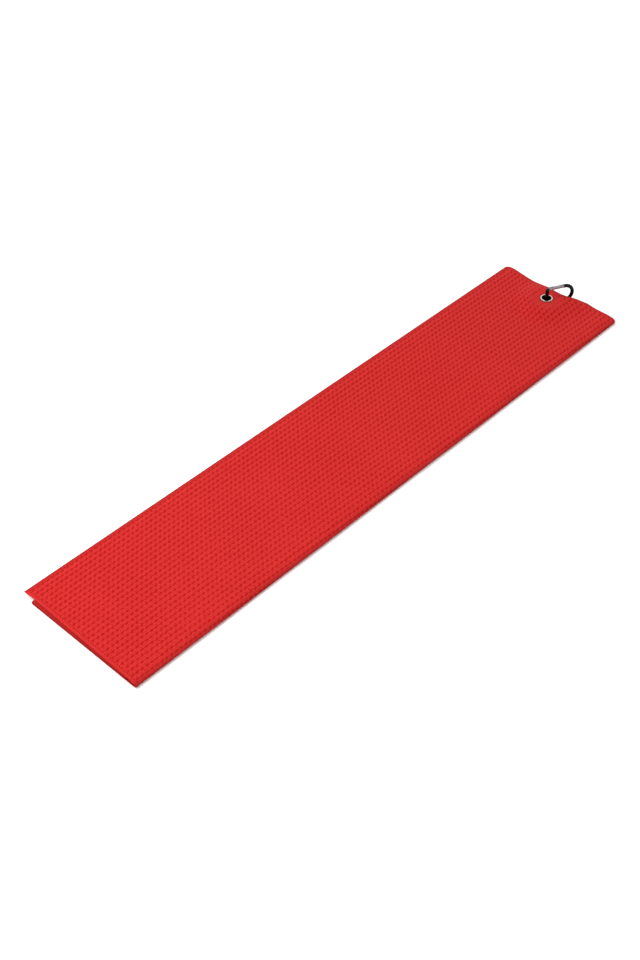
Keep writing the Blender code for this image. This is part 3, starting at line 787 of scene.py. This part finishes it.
def build_eyelet(settings):
    """Flanged ring: a domed flange on top, a barrel through the cloth, a rolled lip below."""
    hole = settings.hole
    barrel = hole + BARREL_WALL
    lip = hole + LIP_REACH
    flange = EYELET_HIGH.x - GROMMET.x
    top, low = EYELET_HIGH.z, EYELET_LOW.z
    under_flange = top - FLANGE_HEIGHT
    over_lip = low + LIP_HEIGHT
    points = [
        (hole, top, 1.0), (flange, top - FLANGE_SLOPE, 1.4), (flange, under_flange, 0.3),
        (barrel, under_flange, 0.2), (barrel, over_lip, 0.2),
        (lip, over_lip, 0.4), (lip, low, 0.6), (hole, low, 0.6),
    ]
    return turned(rounded(points, EYELET_ROUNDING), settings.segments)


def build_washer(settings):
    """Flat ring under the cloth, its edges rounded."""
    inner = settings.hole + WASHER_CLEARANCE
    outer = WASHER_HIGH.x - GROMMET.x
    top, low = WASHER_HIGH.z, WASHER_LOW.z
    points = [(inner, top, 0.3), (outer, top, 0.4), (outer, low, 0.6), (inner, low, 0.4)]
    return turned(rounded(points, WASHER_ROUNDING), settings.segments)


def refined(node):
    """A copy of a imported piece's mesh, its loose triangles merged and its flat faces joined."""
    bm = bmesh.new()
    bm.from_mesh(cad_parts[node].data)
    bmesh.ops.remove_doubles(bm, verts=bm.verts, dist=MERGE_DISTANCE)
    bmesh.ops.dissolve_limit(
        bm, angle_limit=math.radians(FLAT_ANGLE), verts=bm.verts, edges=bm.edges
    )
    return bm


def shorten_with_plunger(spring):
    """Works out how much of the gate's spring the plunger's travel would leave, and gives the spring a
    mesh of its own; the spring itself is not pressed together.
    """
    towards = gate_line()[1].normalized()
    places = [vert.co.dot(towards) for vert in spring.data.vertices]
    keep = 1 - PLUNGER_TRAVEL / (max(places) - min(places))
    towards * max(places)
    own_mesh(spring)


# --- operators -----------------------------------------------------------------------------

class MakeCloth(bpy.types.Operator):
    """Fold the waffle cloth and sew its hem"""

    bl_idname = "golf_towel.make_cloth"
    bl_label = "Cloth and hem"

    def execute(self, context):
        cloth = context.scene.towel_cloth
        bm, fold = build_cloth(cloth)
        piece = add_piece("waffle_towel", bm, "towel", waffle_material(cloth))
        solid = piece.modifiers.new("thickness", "SOLIDIFY")
        solid.thickness = SHEET_THICKNESS
        solid.offset = -1.0
        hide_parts("towel_cloth")
        sewing = build_stitches(fold, cloth)
        stitches = add_piece("hem_stitches", sewing, "towel", thread_material(cloth))
        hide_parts("hem_thread")
        return {"FINISHED"}


class MakeGrommet(bpy.types.Operator):
    """Turn the grommet's eyelet and its washer"""

    bl_idname = "golf_towel.make_grommet"
    bl_label = "Grommet"

    def execute(self, context):
        settings = context.scene.towel_grommet
        # the ring is darkened with painted shade this far out from its axis
        shade_radius = settings.hole + HOLE_SHADE_RUN
        nickel = metal_material(
            "grommet_nickel", settings.nickel, 0.24, 1.0, 900.0, 0.02 * MM, shade_radius=shade_radius
        )
        for name, node, build in (
            ("eyelet", "grommet_eyelet", build_eyelet),
            ("back_washer", "grommet_washer", build_washer),
        ):
            ring = build(settings)
            piece = add_piece(name, ring, "towel", nickel, RING_SMOOTH_ANGLE)
            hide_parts(node)
        return {"FINISHED"}


class MakeCarabiner(bpy.types.Operator):
    """Finish the carabiner's frame, gate, pins, plunger and spring"""

    bl_idname = "golf_towel.make_carabiner"
    bl_label = "Carabiner"

    def execute(self, context):
        settings = context.scene.towel_carabiner
        black = metal_material(
            "anodised_black", settings.black, 0.30, 0.9, 1400.0, 0.02 * MM, bare=settings.bare
        )
        bare = metal_material("drawn_aluminium", settings.bare, 0.16, 1.0, 1600.0, 0.01 * MM)
        steel = metal_material("pin_steel", settings.steel, 0.35, 1.0, 1600.0, 0.01 * MM)
        for name, node, body, material, slot in (
            ("frame_bow", "carabiner_frame", "carabiner", black, "black_anodised"),
            ("gate_bar", "carabiner_gate", "gate", bare, "bare_aluminium"),
            ("hinge_rivet", "gate_hinge_rivet", "carabiner", steel, "spring_steel"),
            ("latch_pin", "gate_latch_pin", "gate", steel, "spring_steel"),
            ("plunger", "gate_plunger", "plunger", steel, "spring_steel"),
            ("return_spring", "gate_spring", "gate", steel, "spring_steel"),
        ):
            piece = add_piece(name, refined(node), body, material, METAL_SMOOTH_ANGLE)
            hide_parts(node)
            if node == "gate_spring":
                shorten_with_plunger(piece)
        return {"FINISHED"}


class MakeStage(bpy.types.Operator):
    """Lay the pale floor and set the soft light and the camera"""

    bl_idname = "golf_towel.make_stage"
    bl_label = "Stage"

    def execute(self, context):
        settings = context.scene.towel_stage
        bm = bmesh.new()
        bmesh.ops.create_grid(bm, x_segments=1, y_segments=1, size=FLOOR_SIZE)
        bmesh.ops.translate(bm, verts=bm.verts, vec=(0, 0, -FLOOR_DROP))
        mesh = bpy.data.meshes.new("floor")
        bm.to_mesh(mesh)
        bm.free()
        floor = bpy.data.objects.new("floor", mesh)
        context.scene.collection.objects.link(floor)
        graph = new_material("floor_paper")
        graph.set(Base_Color=settings.floor, Roughness=0.9)
        mesh.materials.append(graph.owner)
        self.light(context, settings)
        self.camera(context)
        return {"FINISHED"}

    def light(self, context, settings):
        """White surroundings, brighter on the far left, and a broad key light."""
        sky = Graph(bpy.data.worlds.new("soft_studio"), "Background")
        around = sky.node("ShaderNodeTexCoord", {}, {})
        side = sky.vector("DOT_PRODUCT", around, BRIGHT_SIDE, output=1)
        inputs = {"Value": side, "From Min": -1.0, "To Min": settings.dim, "To Max": settings.bright}
        sky.set(Color=(1.0, 1.0, 1.0), Strength=sky.node("ShaderNodeMapRange", {}, inputs))
        context.scene.world = sky.owner
        lamp = bpy.data.lights.new("key", "AREA")
        lamp.energy = settings.key
        lamp.size = KEY_SIZE
        key = bpy.data.objects.new("key", lamp)
        context.scene.collection.objects.link(key)
        key.location = KEY_PLACE
        key.rotation_euler = (-Vector(KEY_PLACE)).to_track_quat("-Z", "Y").to_euler()

    def camera(self, context):
        data = bpy.data.cameras.new("camera")
        data.sensor_width = SENSOR_WIDTH
        data.lens = CAMERA_LENS
        camera = bpy.data.objects.new("camera", data)
        context.scene.collection.objects.link(camera)
        camera.location = CAMERA_PLACE
        tilt = math.radians(90 - CAMERA_ELEVATION)
        camera.rotation_euler = (tilt, 0.0, math.radians(CAMERA_AZIMUTH))
        context.scene.camera = camera


OPERATORS = (MakeCloth, MakeGrommet, MakeCarabiner, MakeStage)


class TowelPanel(bpy.types.Panel):
    """Buttons and sizes of the golf towel"""

    bl_idname = "VIEW3D_PT_golf_towel"
    bl_label = "Golf Towel"
    bl_space_type = "VIEW_3D"
    bl_region_type = "UI"
    bl_category = "Golf Towel"

    def draw(self, context):
        for operator in OPERATORS:
            self.layout.operator(operator.bl_idname)
        for name in SETTINGS:
            group = getattr(context.scene, name)
            for key in group.__annotations__:
                self.layout.prop(group, key)


SETTINGS = {
    "towel_cloth": ClothSettings,
    "towel_grommet": GrommetSettings,
    "towel_carabiner": CarabinerSettings,
    "towel_stage": StageSettings,
}
CLASSES = (*SETTINGS.values(), *OPERATORS, TowelPanel)


def register():
    for cls in CLASSES:
        bpy.utils.register_class(cls)
    for name, cls in SETTINGS.items():
        setattr(bpy.types.Scene, name, PointerProperty(type=cls))


def unregister():
    for name in SETTINGS:
        delattr(bpy.types.Scene, name)
    for cls in reversed(CLASSES):
        bpy.utils.unregister_class(cls)


def main():
    register()
    bpy.context.scene.view_settings.view_transform = "Standard"
    for operator in OPERATORS:
        group, name = operator.bl_idname.split(".")
        getattr(getattr(bpy.ops, group), name)()


if __name__ == "__main__":
    main()
